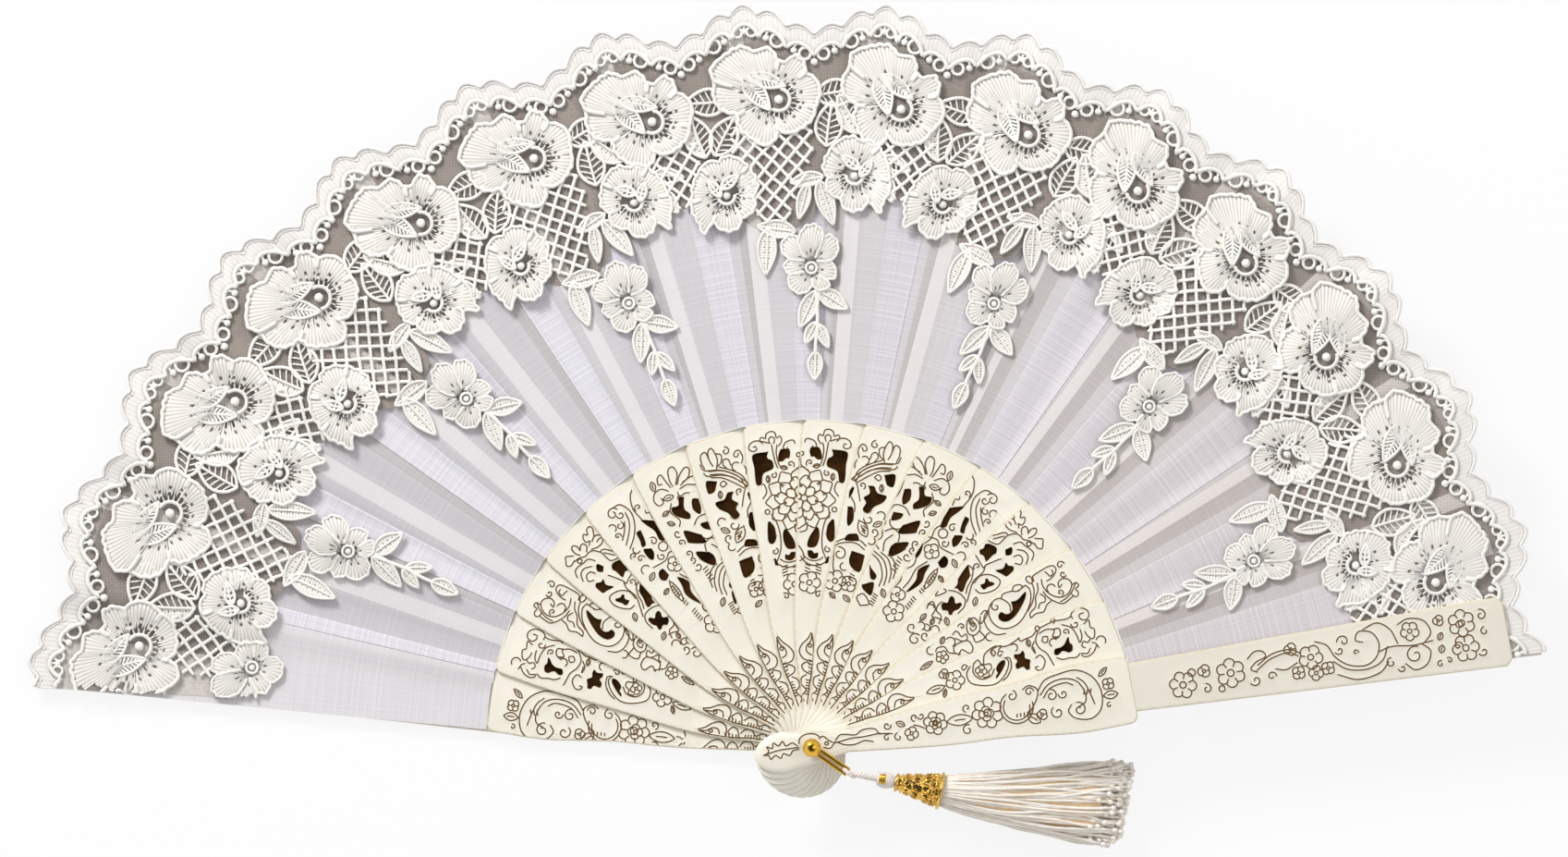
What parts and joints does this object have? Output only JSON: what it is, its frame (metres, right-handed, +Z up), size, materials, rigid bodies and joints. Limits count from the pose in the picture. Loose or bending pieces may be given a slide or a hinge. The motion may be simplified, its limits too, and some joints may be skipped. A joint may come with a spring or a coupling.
{
  "type": "folding fan",
  "caption": "Open lace folding fan lying face up: carved ivory-coloured sticks on a rivet, pleated organza leaf, scalloped flower lace border, wire bail and silk tassel.",
  "frame": {"origin": "on the rivet axis, at the flat face of the rear rivet head, which the fan lies on", "axes": "+Z up out of the face of the open fan, +X to the right along the open fan, +Y from the rivet towards the top of the leaf"},
  "size_m": [0.4593, 0.2553, 0.0319],
  "materials": {
    "ivory": "satin moulded plastic with brown-stained carving",
    "organza": "sheer organza and fine net",
    "lace": "corded guipure lace",
    "silk": "twisted rayon cord",
    "gold": "polished gold plate"
  },
  "bodies": {
    "rear_guard": {"rear_guard": "ivory", "leaf_01": "organza", "lace_01": "lace", "rivet_pin": "gold", "rivet_ball": "gold"},
    "stick_01": {"stick_01": "ivory", "leaf_02": "organza", "lace_02": "lace"},
    "stick_02": {"stick_02": "ivory", "leaf_03": "organza", "lace_03": "lace"},
    "stick_03": {"stick_03": "ivory", "leaf_04": "organza", "lace_04": "lace"},
    "stick_04": {"stick_04": "ivory", "leaf_05": "organza", "lace_05": "lace"},
    "stick_05": {"stick_05": "ivory", "leaf_06": "organza", "lace_06": "lace"},
    "stick_06": {"stick_06": "ivory", "leaf_07": "organza", "lace_07": "lace"},
    "stick_07": {"stick_07": "ivory", "leaf_08": "organza", "lace_08": "lace"},
    "stick_08": {"stick_08": "ivory", "leaf_09": "organza", "lace_09": "lace"},
    "stick_09": {"stick_09": "ivory", "leaf_10": "organza", "lace_10": "lace"},
    "stick_10": {"stick_10": "ivory", "leaf_11": "organza", "lace_11": "lace"},
    "stick_11": {"stick_11": "ivory", "leaf_12": "organza", "lace_12": "lace"},
    "stick_12": {"stick_12": "ivory", "leaf_13": "organza", "lace_13": "lace"},
    "stick_13": {"stick_13": "ivory", "leaf_14": "organza", "lace_14": "lace"},
    "stick_14": {"stick_14": "ivory", "leaf_15": "organza", "lace_15": "lace"},
    "front_guard": {"front_guard": "ivory"},
    "bail": {"bail": "gold"},
    "tassel": {"tassel_cord": "silk", "tassel_knot": "silk", "tassel_cap": "gold", "tassel_skirt": "silk"}
  },
  "joints": [
    {"name": "fold_01", "type": "hinge", "parent": "rear_guard", "child": "stick_01", "pos_m": [0, 0, 0], "axis": [0, 0, 1], "range_deg": [0, 10.75], "deforming": ["leaf_01", "lace_01"]},
    {"name": "fold_02", "type": "hinge", "parent": "stick_01", "child": "stick_02", "pos_m": [0, 0, 0], "axis": [0, 0, 1], "range_deg": [0, 10.75], "deforming": ["leaf_02", "lace_02"]},
    {"name": "fold_03", "type": "hinge", "parent": "stick_02", "child": "stick_03", "pos_m": [0, 0, 0], "axis": [0, 0, 1], "range_deg": [0, 10.75], "deforming": ["leaf_03", "lace_03"]},
    {"name": "fold_04", "type": "hinge", "parent": "stick_03", "child": "stick_04", "pos_m": [0, 0, 0], "axis": [0, 0, 1], "range_deg": [0, 10.75], "deforming": ["leaf_04", "lace_04"]},
    {"name": "fold_05", "type": "hinge", "parent": "stick_04", "child": "stick_05", "pos_m": [0, 0, 0], "axis": [0, 0, 1], "range_deg": [0, 10.75], "deforming": ["leaf_05", "lace_05"]},
    {"name": "fold_06", "type": "hinge", "parent": "stick_05", "child": "stick_06", "pos_m": [0, 0, 0], "axis": [0, 0, 1], "range_deg": [0, 10.75], "deforming": ["leaf_06", "lace_06"]},
    {"name": "fold_07", "type": "hinge", "parent": "stick_06", "child": "stick_07", "pos_m": [0, 0, 0], "axis": [0, 0, 1], "range_deg": [0, 10.75], "deforming": ["leaf_07", "lace_07"]},
    {"name": "fold_08", "type": "hinge", "parent": "stick_07", "child": "stick_08", "pos_m": [0, 0, 0], "axis": [0, 0, 1], "range_deg": [0, 10.75], "deforming": ["leaf_08", "lace_08"]},
    {"name": "fold_09", "type": "hinge", "parent": "stick_08", "child": "stick_09", "pos_m": [0, 0, 0], "axis": [0, 0, 1], "range_deg": [0, 10.75], "deforming": ["leaf_09", "lace_09"]},
    {"name": "fold_10", "type": "hinge", "parent": "stick_09", "child": "stick_10", "pos_m": [0, 0, 0], "axis": [0, 0, 1], "range_deg": [0, 10.75], "deforming": ["leaf_10", "lace_10"]},
    {"name": "fold_11", "type": "hinge", "parent": "stick_10", "child": "stick_11", "pos_m": [0, 0, 0], "axis": [0, 0, 1], "range_deg": [0, 10.75], "deforming": ["leaf_11", "lace_11"]},
    {"name": "fold_12", "type": "hinge", "parent": "stick_11", "child": "stick_12", "pos_m": [0, 0, 0], "axis": [0, 0, 1], "range_deg": [0, 10.75], "deforming": ["leaf_12", "lace_12"]},
    {"name": "fold_13", "type": "hinge", "parent": "stick_12", "child": "stick_13", "pos_m": [0, 0, 0], "axis": [0, 0, 1], "range_deg": [0, 10.75], "deforming": ["leaf_13", "lace_13"]},
    {"name": "fold_14", "type": "hinge", "parent": "stick_13", "child": "stick_14", "pos_m": [0, 0, 0], "axis": [0, 0, 1], "range_deg": [0, 10.75], "deforming": ["leaf_14", "lace_14"]},
    {"name": "fold_15", "type": "hinge", "parent": "stick_14", "child": "front_guard", "pos_m": [0, 0, 0], "axis": [0, 0, 1], "range_deg": [0, 10.75], "deforming": ["leaf_15", "lace_15"]},
    {"name": "bail_swing", "type": "hinge", "parent": "rear_guard", "child": "bail", "pos_m": [0, 0, 0.02525], "axis": [0, 0, 1], "range_deg": [-25, 6]},
    {"name": "tassel_swing", "type": "hinge", "parent": "bail", "child": "tassel", "pos_m": [0.01118, -0.00766, 0.0274], "axis": [0, 0, 1], "range_deg": [-20, 6]}
  ],
  "couplings": [
    {"joint": "fold_02", "follows": "fold_01", "ratio": 1},
    {"joint": "fold_03", "follows": "fold_01", "ratio": 1},
    {"joint": "fold_04", "follows": "fold_01", "ratio": 1},
    {"joint": "fold_05", "follows": "fold_01", "ratio": 1},
    {"joint": "fold_06", "follows": "fold_01", "ratio": 1},
    {"joint": "fold_07", "follows": "fold_01", "ratio": 1},
    {"joint": "fold_08", "follows": "fold_01", "ratio": 1},
    {"joint": "fold_09", "follows": "fold_01", "ratio": 1},
    {"joint": "fold_10", "follows": "fold_01", "ratio": 1},
    {"joint": "fold_11", "follows": "fold_01", "ratio": 1},
    {"joint": "fold_12", "follows": "fold_01", "ratio": 1},
    {"joint": "fold_13", "follows": "fold_01", "ratio": 1},
    {"joint": "fold_14", "follows": "fold_01", "ratio": 1},
    {"joint": "fold_15", "follows": "fold_01", "ratio": 1}
  ]
}
